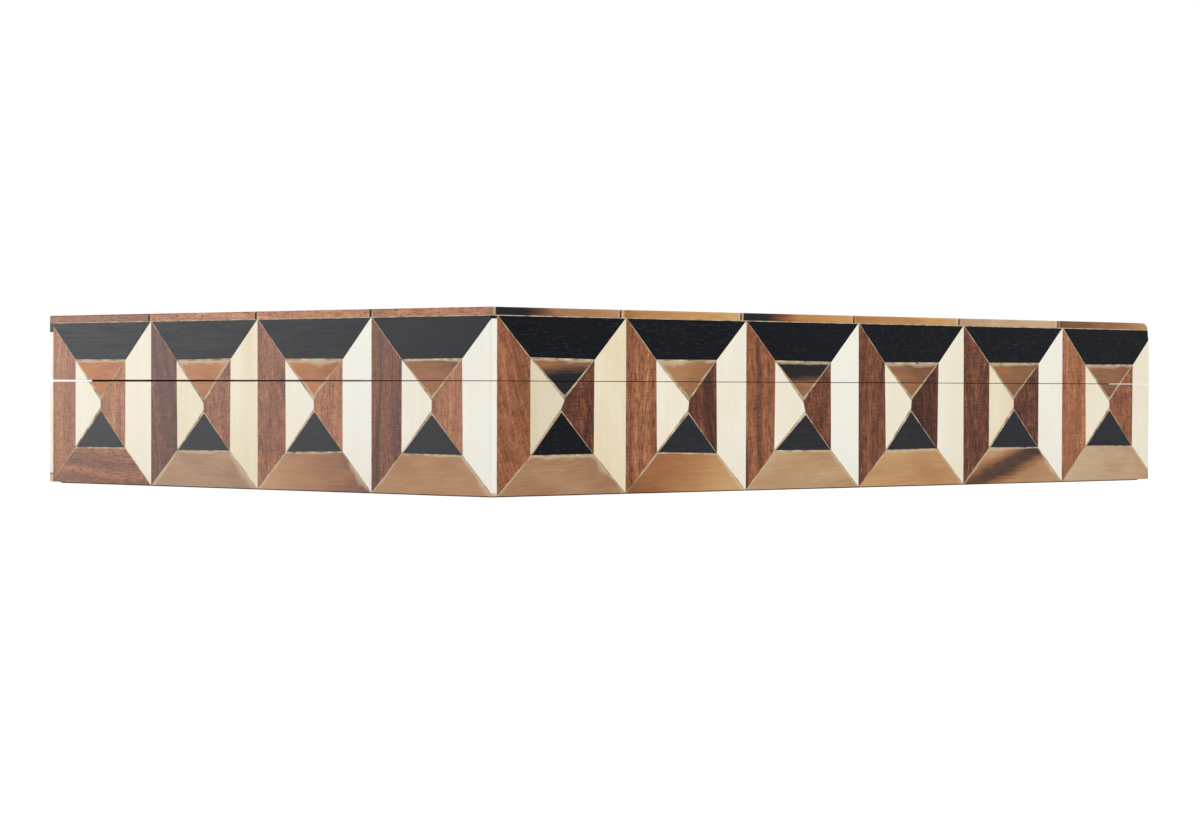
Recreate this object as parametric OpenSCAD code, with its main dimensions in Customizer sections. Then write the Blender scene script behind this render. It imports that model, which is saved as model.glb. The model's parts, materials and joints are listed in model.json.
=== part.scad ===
// Hinged wooden box with a flat lid, covered all over with square marquetry tiles.
// Each tile is a picture frame of four mitred slips round a rectangle of four wedges.
// Origin: centre of the footprint, at the underside. +X runs along the long front, +Y to the hinges.

/* [Box] */
// Length of the box, end to end
box_length = 299; // [240:1:360]
// Depth of the box, front to back
box_depth = 200; // [160:1:250]
// Height of the box with the lid shut
box_height = 51.9; // [46:0.1:80]
// Height of the lid, from its top down to the middle of the saw cut
lid_height = 20.14; // [17:0.01:24]
// Opening of the saw cut along the front, where the lid rests
seam_gap_front = 0.2; // [0.1:0.05:0.4]
// Opening of the saw cut along the back, at the hinges
seam_gap_back = 0.6; // [0.4:0.05:1]

/* [Carcass] */
// Thickness of the boards round the base and the lid
board_t = 7; // [6:0.5:10]
// Thickness of the floor panel
floor_t = 4; // [3:0.5:6]
// How far the floor panel reaches into its rebate in the boards
rebate_w = 3.5; // [2:0.5:5]
// Play round the floor panel in its rebate
floor_clear = 0.1; // [0.05:0.05:0.3]
// Thickness of the panel that closes the lid
lid_panel_t = 4; // [3:0.5:6]

/* [Lining] */
// Thickness of the felt under the box
felt_t = 1; // [0.8:0.1:2]
// How far the marquetry stands above the table
inlay_lift = 0.4; // [0.2:0.1:0.7]
// Gap between the felt and the marquetry round it
felt_clear = 0.3; // [0.2:0.1:1]
// Thickness of the velvet pads in the base and the lid
velvet_t = 1.2; // [1:0.1:2.5]
// Play between a velvet pad and what stands round it
velvet_clear = 0.2; // [0.1:0.05:0.4]
// Thickness of the strips that line the base
liner_t = 2; // [1.5:0.1:3]
// How far the strips stand up into the lid
lip_height = 2.5; // [1.5:0.5:5]
// Play between the standing lip and the lid
lip_clear = 0.3; // [0.25:0.05:0.6]
// Gap between two strips where they meet in the corners
liner_joint = 0.1; // [0.05:0.05:0.3]

/* [Marquetry tile] */
// Thickness of the marquetry
inlay_t = 2.2; // [1.6:0.1:3]
// Tiles along the length of the box
tile_count_long = 6; // [4:1:9]
// Tiles along the depth of the box
tile_count_deep = 4; // [3:1:7]
// Width of the upright slips of a tile's frame
slip_side = 12.5; // [9:0.1:15]
// Height of the bottom slip of a tile's frame
slip_bottom = 10.9; // [9:0.1:13]
// Height of the top slip of a tile's frame
slip_top = 11.65; // [9:0.05:13]
// Height of the blunt tips where the two side wedges meet
blunt_tip = 4.4; // [2:0.1:7]
// Width of the glue line between two pieces
glue_line = 0.25; // [0.15:0.05:0.5]
// Gap between the start of a skin and the back of the one that covers its edge
skin_joint = 0.05; // [0.02:0.01:0.15]
// Thickness of the glue bed under the top marquetry
glue_bed = 0.25; // [0.15:0.05:0.5]
// Thickness of the glue bed behind the marquetry of the sides
side_bed = 0.15; // [0.1:0.05:0.4]
// How much the edge tiles of the top lose where the box is planed flush
top_trim = 0.5; // [0:0.1:1.5]
// Smallest offcut that is still glued in, as the side of a square as large
least_offcut = 0.45; // [0.3:0.05:1]

/* [Hinges] */
// Length of a hinge
hinge_length = 32; // [24:1:50]
// Distance from the end of the box to the middle of a hinge
hinge_from_end = 57.5; // [30:0.5:80]
// Radius of the knuckles
barrel_r = 1.9; // [1.8:0.05:2]
// How far the knuckles lie inside the back face
barrel_inset = 0.2; // [0.15:0.05:0.4]
// Number of knuckles on a hinge
knuckles = 5; // [3:2:7]
// Gap between two knuckles
knuckle_gap = 0.2; // [0.1:0.05:0.4]
// Radius of the hinge pin
pin_r = 0.8; // [0.6:0.05:1]
// Play between the pin and the knuckles, on the radius
pin_clear = 0.04; // [0.01:0.01:0.09]
// Thickness of a hinge leaf
leaf_t = 0.9; // [0.8:0.05:1.1]
// Width of a leaf, from the pin to its free edge
leaf_w = 6.4; // [5.6:0.1:6.6]
// Play round the leaves and the knuckles in the wood
hinge_clear = 0.12; // [0.1:0.01:0.15]
// Widest that the lid opens, where the back bevels meet
open_angle = 100; // [90:1:115]
// Gap that each back bevel leaves at the pin
bevel_clear = 0.15; // [0.1:0.05:0.3]

/* [Screws] */
// Screws in each leaf
screws = 3; // [2:1:4]
// Radius of the screw's shank
screw_r = 0.7; // [0.5:0.05:0.8]
// Radius of the screw's countersunk head
screw_head_r = 1.3; // [1:0.05:1.5]
// Height of the screw's head
screw_head_h = 0.7; // [0.5:0.05:0.75]
// Length of a screw, head and all
screw_length = 7; // [4:0.5:9]
// Distance of the screws from the free edge of the leaf
screw_edge = 2.1; // [1.8:0.1:2.2]
// Distance of the outer screws from the ends of the leaf
screw_end = 4; // [3:0.5:6]
// Play round a screw in the leaf and the wood
screw_clear = 0.05; // [0.02:0.01:0.1]
// Width of the slot in a screw's head
slot_w = 0.4; // [0.3:0.05:0.6]
// Depth of the slot in a screw's head
slot_d = 0.3; // [0.2:0.05:0.4]

/* [Hidden] */
$fn = 48;

// How far cutting shapes run past what they cut
over = 5;

// Heights of the layers, from the table up
seam_height = box_height - lid_height;
board_bottom = felt_t;
floor_top = board_bottom + floor_t;
inlay_top = box_height - inlay_t - glue_bed;
lid_panel_bottom = inlay_top - lid_panel_t;
lip_top = seam_height + lip_height;
gap_slope = (seam_gap_back - seam_gap_front) / box_depth;

// Plan of the carcass, outside and inside the boards
carcass_length = box_length - 2 * inlay_t;
carcass_depth = box_depth - 2 * inlay_t;
inner_length = carcass_length - 2 * board_t;
inner_depth = carcass_depth - 2 * board_t;

// Size of a tile on the sides and on the top
tile_h = inlay_top - inlay_lift;
top_tile_w = (box_length + 2 * top_trim) / tile_count_long;
top_tile_h = (box_depth + 2 * top_trim) / tile_count_deep;
end_tile_w = box_depth / tile_count_deep;

// Hinge axis, and the bevels behind it that stop the lid
axis_y = box_depth / 2 - barrel_inset - barrel_r;
axis_z = seam_height;
bevel_angle = open_angle / 2;
bevel_drop = bevel_clear / cos(bevel_angle);
leaf_top = axis_z - seam_gap_back / 2;
leaf_bottom = leaf_top - leaf_t;
leaf_y = axis_y - leaf_w;
knuckle_length = (hinge_length - (knuckles - 1) * knuckle_gap) / knuckles;
knuckle_pitch = knuckle_length + knuckle_gap;
screw_y = leaf_y + screw_edge;
screw_pitch = (hinge_length - 2 * screw_end) / (screws - 1);
hinge_places = [hinge_from_end - box_length / 2, box_length / 2 - hinge_from_end];

// Each face as seen from outside: name, turn about Z, its width, its distance from the middle,
// whether it is a long one, the depth at its middle, how that grows along it, its tiles and their width
FACES = [
  ["front", 0, box_length, box_depth / 2, true, -box_depth / 2, 0, tile_count_long, top_tile_w],
  ["left", -90, box_depth, box_length / 2, false, 0, -1, tile_count_deep, end_tile_w],
  ["back", 180, box_length, box_depth / 2, true, box_depth / 2, 0, tile_count_long, top_tile_w],
  ["right", 90, box_depth, box_length / 2, false, 0, 1, tile_count_deep, end_tile_w]
];
function face(name) = FACES[search([name], FACES)[0]];

EBONY = [0.12, 0.12, 0.14];
ROSEWOOD = [0.6, 0.38, 0.28];
BONE = [0.93, 0.9, 0.82];
HORN = [0.7, 0.54, 0.38];
WALNUT = [0.42, 0.28, 0.18];
GLUE = [0.84, 0.8, 0.7];
VELVET = [0.4, 0.05, 0.08];
BRASS = [0.75, 0.6, 0.3];
function tint(wood) =
  wood == "ebony" ? EBONY : wood == "rosewood" ? ROSEWOOD : wood == "bone" ? BONE : HORN;

// ---- Plane outlines: all are convex and run anticlockwise ----

function area2(p) =
  len(p) < 3 ? 0 : let (s = [for (i = [0:len(p) - 1]) cross(p[i], p[(i + 1) % len(p)])])
    [for (i = 0, a = s[0]; i < len(s); i = i + 1, a = i < len(s) ? a + s[i] : a) a][len(s) - 1];

// Keeps the part of outline p where n * point <= limit
function cut(p, n, limit) =
  len(p) < 3 ? [] : [
    for (i = [0:len(p) - 1])
      let (a = p[i], b = p[(i + 1) % len(p)], da = n * a - limit, db = n * b - limit)
        each concat(da <= 0 ? [a] : [], da * db < 0 ? [a + (b - a) * da / (da - db)] : [])
  ];

function cut_all(p, planes, i = 0) =
  i == len(planes) ? p : cut_all(cut(p, planes[i][0], planes[i][1]), planes, i + 1);

// Moves each edge of outline p inwards by d
function shrink(p, d) = [
  for (i = [0:len(p) - 1])
    let (
      a = p[(i + len(p) - 1) % len(p)], b = p[i], c = p[(i + 1) % len(p)],
      e = (b - a) / norm(b - a), f = (c - b) / norm(c - b)
    )
      b + d * (f - e) / cross(e, f)
];

function rectangle(low, high) = [low, [high.x, low.y], high, [low.x, high.y]];

// Half planes [normal, limit] that bound a rectangle
function inside(low, high) =
  [[[-1, 0], -low.x], [[1, 0], high.x], [[0, -1], -low.y], [[0, 1], high.y]];

// ---- Marquetry ----

// The eight pieces of one tile, each [wood, outline], before the glue lines are taken off.
// The frame's slips run past the tile by spill above and below, where nothing adjoins it.
function tile_pieces(w, h, spill, bottom_slip_wood) =
  let (
    in_left = slip_side, in_right = w - slip_side, in_low = slip_bottom, in_high = h - slip_top,
    mid = w / 2, tip_low = h / 2 - blunt_tip / 2, tip_high = h / 2 + blunt_tip / 2,
    over_low = -spill, over_high = h + spill
  )
    [
      [bottom_slip_wood, [[0, over_low], [w, over_low], [in_right, in_low], [in_left, in_low]]],
      ["bone", [[w, over_low], [w, over_high], [in_right, in_high], [in_right, in_low]]],
      ["ebony", [[w, over_high], [0, over_high], [in_left, in_high], [in_right, in_high]]],
      ["rosewood", [[0, over_high], [0, over_low], [in_left, in_low], [in_left, in_high]]],
      ["horn", [[in_right, in_high], [in_left, in_high], [mid, tip_high]]],
      ["bone", [[in_left, in_high], [in_left, in_low], [mid, tip_low], [mid, tip_high]]],
      ["rosewood", [[in_right, in_low], [in_right, in_high], [mid, tip_high], [mid, tip_low]]],
      ["ebony", [[in_left, in_low], [in_right, in_low], [mid, tip_low]]]
    ];

// Every piece of a run of tiles whose first corner is at start, each [wood, outline, outline
// before it is cut to the planes]
function tiled(start, w, h, count_x, count_y, planes, spill = 0, odd_first = false) = [
  for (j = [0:count_y - 1], i = [0:count_x - 1])
    let (corner = start + [i * w, j * h], slip = odd_first && i == 0 ? "rosewood" : "horn")
      for (piece = tile_pieces(w, h, spill, slip))
        let (
          whole = [for (q = shrink(piece[1], glue_line / 2)) corner + q],
          fitted = cut_all(whole, planes)
        )
          if (area2(fitted) > 2 * least_offcut ^ 2) [piece[0], fitted, whole]
];

// The saw cut's lower and upper line on a face, as half planes for the base and for the lid
function below_cut(f) =
  [[gap_slope * f[6] / 2, 1], seam_height - (seam_gap_front + gap_slope * (f[5] + box_depth / 2)) / 2];
function above_cut(f) =
  [[gap_slope * f[6] / 2, -1], -seam_height - (seam_gap_front + gap_slope * (f[5] + box_depth / 2)) / 2];

// A face's marquetry starts behind its neighbour's edge and covers the next one's
function skin_low(f) = [inlay_t + skin_joint - f[2] / 2, inlay_lift];
function skin_high(f) = [f[2] / 2, inlay_top];
function face_planes(f, part) =
  concat(inside(skin_low(f), skin_high(f)), [part == "base" ? below_cut(f) : above_cut(f)]);

// Long faces start with a whole tile, and short ones lose the same at both ends.
// The bottom slip at the far end of the left face is rosewood in place of horn.
function face_pieces(f, part) =
  let (
    spare = f[4] ? glue_line / 2 : (f[7] * f[8] + inlay_t - f[2]) / 2,
    start = [inlay_t - f[2] / 2 - spare, inlay_lift]
  )
    tiled(start, f[8], tile_h, f[7], 1, face_planes(f, part), glue_line, f[0] == "left");

top_planes = inside([-box_length / 2, -box_depth / 2], [box_length / 2, box_depth / 2]);
top_start = -[box_length / 2 + top_trim, box_depth / 2 + top_trim];
top_pieces = tiled(top_start, top_tile_w, top_tile_h, tile_count_long, tile_count_deep, top_planes);

// Lays plane outlines on a face of the box, from one height above its boards to another
module on_face(f, low, high) {
  rotate([0, 0, f[1]])
    translate([0, inlay_t - f[3] - low, 0])
      rotate([90, 0, 0])
        linear_extrude(high - low) children();
}

module outlines(pieces, wood) {
  for (piece = pieces)
    if (piece[0] == wood) polygon(piece[1]);
}

// One wood of one face, in the base or in the lid
module side_inlay(part, name, wood) {
  f = face(name);
  color(tint(wood))
    clear_of_hinges(part, name)
      on_face(f, side_bed, inlay_t) outlines(face_pieces(f, part), wood);
}

module top_inlay(wood) {
  color(tint(wood))
    translate([0, 0, box_height - inlay_t])
      linear_extrude(inlay_t) outlines(top_pieces, wood);
}

// The bed behind a face's pieces, and the lines between them
module side_glue(part, f) {
  whole_face = cut_all(rectangle(skin_low(f), skin_high(f)), face_planes(f, part));
  clear_of_hinges(part, f[0])
    union() {
      on_face(f, 0, side_bed) polygon(whole_face);
      on_face(f, side_bed, inlay_t)
        difference() {
          polygon(whole_face);
          for (piece = face_pieces(f, part)) polygon(piece[2]);
        }
    }
}

// The back is bevelled behind the hinge axis, and the knuckles lie in round channels
module clear_of_hinges(part, name) {
  if (name == "back" || name == "right")
    difference() {
      children();
      back_bevel(part);
      if (name == "back") barrel_channels();
    }
  else
    children();
}

// ---- Cuts along the back ----

// Turns what is made for the base over the hinge axis, so that it fits the lid
module for_part(part) {
  if (part == "base")
    children();
  else
    translate([0, 0, 2 * axis_z]) mirror([0, 0, 1]) children();
}

// Extrudes a YZ outline along X, centred on the box
module along_x(length) {
  rotate([90, 0, 90])
    translate([0, 0, -length / 2])
      linear_extrude(length) children();
}

module back_bevel(part) {
  reach = box_depth / 2 - axis_y + over;
  for_part(part)
    along_x(box_length + 2 * over)
      polygon([
        [axis_y, axis_z - bevel_drop],
        [axis_y + reach, axis_z - bevel_drop - reach * tan(bevel_angle)],
        [axis_y + reach, axis_z + over],
        [axis_y, axis_z + over]
      ]);
}

module barrel_channels() {
  for (x = hinge_places)
    translate([x - hinge_length / 2 - hinge_clear, axis_y, axis_z])
      rotate([0, 90, 0])
        cylinder(r = barrel_r + hinge_clear, h = hinge_length + 2 * hinge_clear);
}

// Recess for a leaf and holes for its screws, in the edge of a back board
module leaf_seats(part) {
  for_part(part)
    for (x = hinge_places) {
      translate([x - hinge_length / 2 - hinge_clear, leaf_y - hinge_clear, leaf_bottom])
        cube([hinge_length + 2 * hinge_clear, leaf_w + hinge_clear + over, leaf_t + over]);
      at_screws(x)
        translate([0, 0, -screw_length])
          cylinder(r = screw_r + screw_clear, h = screw_length);
    }
}

module at_screws(x) {
  for (i = [0:screws - 1])
    translate([x - hinge_length / 2 + screw_end + i * screw_pitch, screw_y, leaf_top]) children();
}

// ---- Carcass ----

// Everything on one side of the sloping saw cut
module keep_side(part) {
  sign = part == "base" ? -1 : 1;
  half = box_depth / 2 + over;
  front_z = seam_height + sign * (seam_gap_front - gap_slope * over) / 2;
  back_z = seam_height + sign * (seam_gap_back + gap_slope * over) / 2;
  far_z = part == "base" ? -over : box_height + over;
  intersection() {
    children();
    along_x(box_length + 2 * over)
      polygon([[-half, front_z], [half, back_z], [half, far_z], [-half, far_z]]);
  }
}

// A board on edge, from z_low to z_high, on the face that is turned by turn
module wall_board(turn, length, face_distance, z_low, z_high) {
  rotate([0, 0, turn])
    translate([-length / 2, inlay_t - face_distance, z_low])
      cube([length, board_t, z_high - z_low]);
}

module floor_shape(clear) {
  length = inner_length + 2 * (rebate_w + clear);
  depth = inner_depth + 2 * (rebate_w + clear);
  translate([-length / 2, -depth / 2, board_bottom]) cube([length, depth, floor_t]);
}

// The long boards run the whole length, and the end boards butt between them
module base_board(name) {
  f = face(name);
  length = f[4] ? carcass_length : inner_depth;
  color(WALNUT)
    difference() {
      keep_side("base") wall_board(f[1], length, f[3], board_bottom, box_height);
      floor_shape(floor_clear);
      if (name == "back") {
        leaf_seats("base");
        barrel_channels();
        back_bevel("base");
      }
    }
}

module lid_board(name) {
  f = face(name);
  length = f[4] ? carcass_length : inner_depth;
  color(WALNUT)
    difference() {
      keep_side("lid") wall_board(f[1], length, f[3], 0, lid_panel_bottom);
      if (name == "back") {
        leaf_seats("lid");
        barrel_channels();
        back_bevel("lid");
      }
    }
}

module base_floor_panel() {
  color(WALNUT) floor_shape(0);
}

module lid_top_panel() {
  color(WALNUT)
    translate([-carcass_length / 2, -carcass_depth / 2, lid_panel_bottom])
      cube([carcass_length, carcass_depth, lid_panel_t]);
}

// ---- Felt and velvet ----

module base_underside_felt() {
  length = carcass_length - 2 * felt_clear;
  depth = carcass_depth - 2 * felt_clear;
  color(VELVET * 0.6)
    translate([-length / 2, -depth / 2, 0]) cube([length, depth, felt_t]);
}

module velvet_pad(length, depth, z) {
  color(VELVET)
    translate([-length / 2, -depth / 2, z]) cube([length, depth, velvet_t]);
}

module base_floor_velvet() {
  margin = 2 * (liner_t + velvet_clear);
  velvet_pad(inner_length - margin, inner_depth - margin, floor_top);
}

module lid_velvet() {
  margin = 2 * (lip_clear + velvet_clear);
  velvet_pad(inner_length - margin, inner_depth - margin, lid_panel_bottom - velvet_t);
}

// A strip stands against its board, and its rounded lip steps clear of the lid
module liner_strip(length) {
  round_r = (liner_t - lip_clear) / 2;
  step_z = seam_height - seam_gap_back / 2 - lip_clear;
  along_x(length)
    polygon(concat(
      [[0, floor_top], [liner_t, floor_top]],
      [for (a = [0:15:180]) [lip_clear + round_r * (1 + cos(a)), lip_top - round_r * (1 - sin(a))]],
      [[lip_clear, step_z + lip_clear], [0, step_z]]
    ));
}

// The end strips stand between the long ones
module base_liner_strips() {
  end_length = inner_depth - 2 * (liner_t + liner_joint);
  color(VELVET)
    for (f = FACES)
      rotate([0, 0, f[1]])
        translate([0, inlay_t + board_t - f[3], 0])
          liner_strip(f[4] ? inner_length : end_length);
}

// ---- Hinges ----

// The base leaf has the end knuckles, and the lid leaf has the ones between
module hinge_leaf(part, x) {
  first = part == "base" ? 0 : 1;
  flat_w = leaf_w - barrel_r - hinge_clear;
  color(BRASS)
    for_part(part)
      difference() {
        union() {
          translate([x - hinge_length / 2, leaf_y, leaf_bottom]) cube([hinge_length, flat_w, leaf_t]);
          for (i = [first:2:knuckles - 1])
            translate([x - hinge_length / 2 + i * knuckle_pitch, 0, 0]) {
              translate([0, leaf_y, leaf_bottom]) cube([knuckle_length, leaf_w, leaf_t]);
              translate([0, axis_y, axis_z]) rotate([0, 90, 0]) cylinder(r = barrel_r, h = knuckle_length);
            }
        }
        translate([x - hinge_length / 2 - over, axis_y, axis_z])
          rotate([0, 90, 0]) cylinder(r = pin_r + pin_clear, h = hinge_length + 2 * over);
        at_screws(x) countersink(screw_clear);
      }
}

// A screw's form below its head's top, with play all round
module countersink(clear) {
  translate([0, 0, -screw_length]) cylinder(r = screw_r + clear, h = screw_length + over);
  translate([0, 0, -screw_head_h])
    cylinder(r1 = screw_r + clear, r2 = screw_head_r + clear, h = screw_head_h);
}

module hinge_pins() {
  color(BRASS)
    for (x = hinge_places)
      translate([x - hinge_length / 2, axis_y, axis_z])
        rotate([0, 90, 0]) cylinder(r = pin_r, h = hinge_length);
}

module slotted_screw() {
  difference() {
    union() {
      translate([0, 0, -screw_length]) cylinder(r = screw_r, h = screw_length - screw_head_h);
      translate([0, 0, -screw_head_h]) cylinder(r1 = screw_r, r2 = screw_head_r, h = screw_head_h);
    }
    translate([-screw_head_r - over, -slot_w / 2, -slot_d])
      cube([2 * (screw_head_r + over), slot_w, slot_d + over]);
  }
}

module hinge_screws(part) {
  color(BRASS)
    for_part(part)
      for (x = hinge_places) at_screws(x) slotted_screw();
}

// ---- Glue ----

module base_glue_lines() {
  color(GLUE)
    for (f = FACES) side_glue("base", f);
}

module lid_glue_lines() {
  color(GLUE) {
    for (f = FACES) side_glue("lid", f);
    translate([-box_length / 2, -box_depth / 2, inlay_top]) cube([box_length, box_depth, glue_bed]);
    translate([0, 0, box_height - inlay_t])
      linear_extrude(inlay_t)
        difference() {
          polygon(rectangle([-box_length / 2, -box_depth / 2], [box_length / 2, box_depth / 2]));
          for (piece = top_pieces) polygon(piece[2]);
        }
  }
}

base_board("front");  // base_front_board
base_board("back");  // base_back_board
base_board("left");  // base_left_board
base_board("right");  // base_right_board
base_floor_panel();
base_underside_felt();
base_floor_velvet();
base_liner_strips();
side_inlay("base", "front", "ebony");  // base_front_ebony
side_inlay("base", "front", "rosewood");  // base_front_rosewood
side_inlay("base", "front", "bone");  // base_front_bone
side_inlay("base", "front", "horn");  // base_front_horn
side_inlay("base", "left", "ebony");  // base_left_ebony
side_inlay("base", "left", "rosewood");  // base_left_rosewood
side_inlay("base", "left", "bone");  // base_left_bone
side_inlay("base", "left", "horn");  // base_left_horn
side_inlay("base", "back", "ebony");  // base_back_ebony
side_inlay("base", "back", "rosewood");  // base_back_rosewood
side_inlay("base", "back", "bone");  // base_back_bone
side_inlay("base", "back", "horn");  // base_back_horn
side_inlay("base", "right", "ebony");  // base_right_ebony
side_inlay("base", "right", "rosewood");  // base_right_rosewood
side_inlay("base", "right", "bone");  // base_right_bone
side_inlay("base", "right", "horn");  // base_right_horn
base_glue_lines();
lid_board("front");  // lid_front_board
lid_board("back");  // lid_back_board
lid_board("left");  // lid_left_board
lid_board("right");  // lid_right_board
lid_top_panel();
lid_velvet();
side_inlay("lid", "front", "ebony");  // lid_front_ebony
side_inlay("lid", "front", "rosewood");  // lid_front_rosewood
side_inlay("lid", "front", "bone");  // lid_front_bone
side_inlay("lid", "front", "horn");  // lid_front_horn
side_inlay("lid", "left", "ebony");  // lid_left_ebony
side_inlay("lid", "left", "rosewood");  // lid_left_rosewood
side_inlay("lid", "left", "bone");  // lid_left_bone
side_inlay("lid", "left", "horn");  // lid_left_horn
side_inlay("lid", "back", "ebony");  // lid_back_ebony
side_inlay("lid", "back", "rosewood");  // lid_back_rosewood
side_inlay("lid", "back", "bone");  // lid_back_bone
side_inlay("lid", "back", "horn");  // lid_back_horn
side_inlay("lid", "right", "ebony");  // lid_right_ebony
side_inlay("lid", "right", "rosewood");  // lid_right_rosewood
side_inlay("lid", "right", "bone");  // lid_right_bone
side_inlay("lid", "right", "horn");  // lid_right_horn
top_inlay("ebony");  // lid_top_ebony
top_inlay("rosewood");  // lid_top_rosewood
top_inlay("bone");  // lid_top_bone
top_inlay("horn");  // lid_top_horn
lid_glue_lines();
hinge_leaf("base", hinge_places[1]);  // left_hinge_base_leaf
hinge_leaf("base", hinge_places[0]);  // right_hinge_base_leaf
hinge_leaf("lid", hinge_places[1]);  // left_hinge_lid_leaf
hinge_leaf("lid", hinge_places[0]);  // right_hinge_lid_leaf
hinge_pins();
hinge_screws("base");  // base_hinge_screws
hinge_screws("lid");  // lid_hinge_screws
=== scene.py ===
import json
import math
import random

import bmesh
import bpy
from mathutils import Matrix, Vector, kdtree, noise


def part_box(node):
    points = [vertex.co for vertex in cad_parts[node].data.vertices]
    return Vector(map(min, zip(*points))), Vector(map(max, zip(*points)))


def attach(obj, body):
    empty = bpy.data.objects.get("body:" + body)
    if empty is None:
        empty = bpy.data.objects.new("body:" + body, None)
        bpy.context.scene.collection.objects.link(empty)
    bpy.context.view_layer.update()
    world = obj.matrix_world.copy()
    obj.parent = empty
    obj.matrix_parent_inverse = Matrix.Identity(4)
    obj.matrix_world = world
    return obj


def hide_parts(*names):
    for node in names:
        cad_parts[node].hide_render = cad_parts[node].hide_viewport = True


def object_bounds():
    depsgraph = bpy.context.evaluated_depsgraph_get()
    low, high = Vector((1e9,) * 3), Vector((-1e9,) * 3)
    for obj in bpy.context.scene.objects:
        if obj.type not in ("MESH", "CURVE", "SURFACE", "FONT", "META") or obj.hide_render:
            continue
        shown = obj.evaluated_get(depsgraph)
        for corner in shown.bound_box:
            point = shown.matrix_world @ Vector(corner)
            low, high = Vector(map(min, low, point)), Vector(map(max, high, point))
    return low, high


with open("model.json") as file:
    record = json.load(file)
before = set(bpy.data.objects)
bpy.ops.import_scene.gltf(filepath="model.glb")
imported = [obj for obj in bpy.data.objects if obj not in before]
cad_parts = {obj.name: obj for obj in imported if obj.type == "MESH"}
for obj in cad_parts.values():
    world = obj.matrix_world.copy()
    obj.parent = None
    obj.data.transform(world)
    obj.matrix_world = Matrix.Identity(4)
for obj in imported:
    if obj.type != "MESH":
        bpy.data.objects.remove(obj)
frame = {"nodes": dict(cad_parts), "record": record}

MM = 0.001
CAD_LOW, CAD_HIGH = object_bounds()
LENGTH = CAD_HIGH.x - CAD_LOW.x
DEPTH = CAD_HIGH.y - CAD_LOW.y
HEIGHT = CAD_HIGH.z - CAD_LOW.z

# The marquetry as part.scad lays it out: how thick a skin is, how far it stands above the table,
# the glue under the top and between the pieces, the tiles in a row along the length and along the
# depth, how wide the side, bottom and top slips are, how tall the blunt tips where the side wedges
# meet are, and how much the edge tiles of the top lost when the box was planed flush
SKIN = 2.2 * MM
LIFT = 0.4 * MM
GLUE_BED = 0.25 * MM
GLUE_LINE = 0.25 * MM
TILES_LONG, TILES_DEEP = 6, 4
SLIP_SIDE = 12.5 * MM
SLIP_LOW = 10.9 * MM
SLIP_HIGH = 11.65 * MM
BLUNT_TIP = 4.4 * MM
TOP_TRIM = 0.5 * MM

# Faces as seen from outside: which way is right, which is up and which is out
FACES = {
    "front": (Vector((1, 0, 0)), Vector((0, 0, 1)), Vector((0, -1, 0))),
    "left": (Vector((0, -1, 0)), Vector((0, 0, 1)), Vector((-1, 0, 0))),
    "back": (Vector((-1, 0, 0)), Vector((0, 0, 1)), Vector((0, 1, 0))),
    "right": (Vector((0, 1, 0)), Vector((0, 0, 1)), Vector((1, 0, 0))),
    "top": (Vector((1, 0, 0)), Vector((0, 1, 0)), Vector((0, 0, 1))),
}
WOODS = ("ebony", "rosewood", "bone", "horn")

# Corners of the pieces of a tile. Capitals are the tile's own corners, small letters those of the
# rectangle inside the slips, and t and T the lower and upper tip between the wedges.
PIECES = {
    "bottom slip": "ABba",
    "right slip": "BCcb",
    "top slip": "CDdc",
    "left slip": "DAad",
    "top wedge": "cdT",
    "left wedge": "datT",
    "right wedge": "bcTt",
    "bottom wedge": "abt",
}

# Width in millimetres of the glue line at each kind of joint, named by its two corners
JOINTS = {
    "AB": 0.2, "CD": 0.2, "BC": 0.04, "AD": 0.04, "bc": 0.04, "ad": 0.04,
    "Aa": 0.26, "Bb": 0.34, "Cc": 0.06, "Dd": 0.2, "ab": 0.34, "cd": 0.46,
    "Td": 0.14, "Tc": 0.1, "at": 0.46, "bt": 0.08, "Tt": 0.08,
}

# How far the hand-cut corners inside a tile wander, the share of it by which the corners that
# tiles have in common do, and the shares by which the glue lines vary in width
WANDER = 0.3 * MM
SHARED_WANDER = 0.5
LINE_VARIES = (0.7, 1.35)

# Where the maker's hand set the tips of the wedges in a row of tiles, in millimetres to the right
# and upwards of their place in the pattern
TIPS = {
    ("front", "T"): ((1.1, 0.3), (1.0, 0), (0, 0), (0, 0), (0, 0), (0.3, 0.2)),
    ("front", "t"): ((-0.6, 0.9), (0.4, 0.3), (1.0, -0.6), (-0.6, 0.5), (0, 0.5), (0, 0.4)),
    ("left", "T"): ((0, -0.3), (0, -1.1), (0, -0.3), (0, 0)),
    ("left", "t"): ((0, 0), (0.3, -0.3), (0, 0.5), (0, 0)),
}

# The side wedges stop short of the upper and the lower tip, and filler makes up the difference:
# how far each of their two corners lies below or above the tip
TIP_GAPS = {
    ("left wedge", "T"): -1.0 * MM, ("left wedge", "t"): 0.7 * MM,
    ("right wedge", "T"): -0.7 * MM, ("right wedge", "t"): 0.4 * MM,
}

# Along the rim of the top the mitres run out beside the tiles' corners, so that one tip shows
# and the other closes: the shift of each corner along a front or back rim, and along a side rim
RIM_SHIFTS = {"A": (0.45, -0.65), "B": (0.65, 0.45), "C": (-0.45, 0.65), "D": (-0.65, -0.45)}

# Each wood is used twice in a tile. These shares of the tile's width or height part the two, by
# the middle of the piece: slips lie beyond them, and wedges towards the middle of the tile.
EBONY_TOP = 0.6
HORN_BOTTOM = 0.25
BONE_RIGHT = 0.74
ROSEWOOD_LEFT = 0.26
ROSEWOOD_BOTTOM = 0.2

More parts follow.
